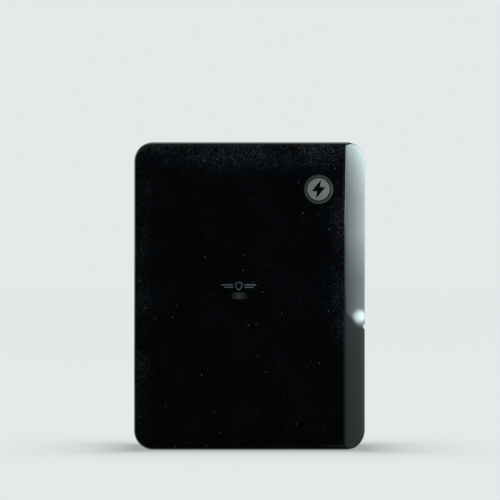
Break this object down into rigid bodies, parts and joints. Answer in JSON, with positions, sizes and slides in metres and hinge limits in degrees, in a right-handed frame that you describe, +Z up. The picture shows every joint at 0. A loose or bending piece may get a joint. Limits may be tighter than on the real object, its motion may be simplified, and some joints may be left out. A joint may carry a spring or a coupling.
{
  "type": "wall tap surge protector",
  "caption": "Flat black plug-in surge protector tap that hangs on a duplex wall receptacle, with grounded outlets down both sides behind sliding safety covers.",
  "frame": {"origin": "middle of the flat back, in the plane that lies on the wall plate", "axes": "+X to the right as one faces the front, +Y into the wall, out of the flat back, +Z up"},
  "size_m": [0.1146, 0.0621, 0.1524],
  "materials": {
    "casing": "satin black ABS",
    "outlet_face": "fine matt black ABS",
    "sliding_cover": "dark charcoal nylon",
    "badge_metal": "satin",
    "lens": "smoky grey, unlit",
    "label": "blank silver film",
    "insulator": "dark moulded thermoplastic",
    "fibre_sheet": "brown vulcanised fibre",
    "brass_strip": "stamped",
    "nickel_plate": "bright nickel",
    "circuit_board": "solder mask",
    "blue_epoxy": "dipped epoxy",
    "fuse_body": "ceramic-like",
    "yellow_film": "moulded box",
    "resistor_body": "coated",
    "diode_body": "moulded",
    "led": "tinted clear",
    "black_insulation": "soft vinyl",
    "white_insulation": "soft vinyl",
    "green_insulation": "soft vinyl",
    "steel": "zinc plated"
  },
  "bodies": {
    "casing": {"front_cover": "casing", "rear_housing": "casing", "badge": "badge_metal", "indicator_lens": "lens", "rating_label": "label", "left_outlet_panel": "outlet_face", "left_contact_carrier": "insulator", "left_carrier_cover": "fibre_sheet", "left_line_contacts": "brass_strip", "left_neutral_contacts": "brass_strip", "left_ground_contacts": "brass_strip", "right_outlet_panel": "outlet_face", "right_contact_carrier": "insulator", "right_carrier_cover": "fibre_sheet", "right_line_contacts": "brass_strip", "right_neutral_contacts": "brass_strip", "right_ground_contacts": "brass_strip", "line_bridge": "brass_strip", "neutral_bridge": "brass_strip", "ground_bridge": "brass_strip", "plug_base": "insulator", "line_blade": "nickel_plate", "neutral_blade": "nickel_plate", "ground_pin": "nickel_plate", "alignment_peg": "casing", "surge_board": "circuit_board", "varistors": "blue_epoxy", "thermal_fuses": "fuse_body", "filter_capacitor": "yellow_film", "indicator_resistors": "resistor_body", "indicator_diode": "diode_body", "indicator_led": "led", "line_feed_lead": "black_insulation", "line_out_lead": "black_insulation", "neutral_feed_lead": "white_insulation", "neutral_out_lead": "white_insulation", "ground_lead": "green_insulation", "ground_board_lead": "green_insulation", "housing_screws": "steel", "board_screws": "steel", "plug_base_screws": "steel", "carrier_screws": "steel"},
    "left_top_cover": {"left_top_safety_cover": "sliding_cover"},
    "left_middle_cover": {"left_middle_safety_cover": "sliding_cover"},
    "left_bottom_cover": {"left_bottom_safety_cover": "sliding_cover"},
    "right_top_cover": {"right_top_safety_cover": "sliding_cover"},
    "right_middle_cover": {"right_middle_safety_cover": "sliding_cover"},
    "right_bottom_cover": {"right_bottom_safety_cover": "sliding_cover"}
  },
  "joints": [
    {"name": "left_top_cover_slide", "type": "slide", "parent": "casing", "child": "left_top_cover", "axis": [0, 1, 0], "range_m": [0, 0.004]},
    {"name": "left_middle_cover_slide", "type": "slide", "parent": "casing", "child": "left_middle_cover", "axis": [0, 1, 0], "range_m": [0, 0.004]},
    {"name": "left_bottom_cover_slide", "type": "slide", "parent": "casing", "child": "left_bottom_cover", "axis": [0, 1, 0], "range_m": [0, 0.004]},
    {"name": "right_top_cover_slide", "type": "slide", "parent": "casing", "child": "right_top_cover", "axis": [0, -1, 0], "range_m": [0, 0.004]},
    {"name": "right_middle_cover_slide", "type": "slide", "parent": "casing", "child": "right_middle_cover", "axis": [0, -1, 0], "range_m": [0, 0.004]},
    {"name": "right_bottom_cover_slide", "type": "slide", "parent": "casing", "child": "right_bottom_cover", "axis": [0, -1, 0], "range_m": [0, 0.004]}
  ]
}
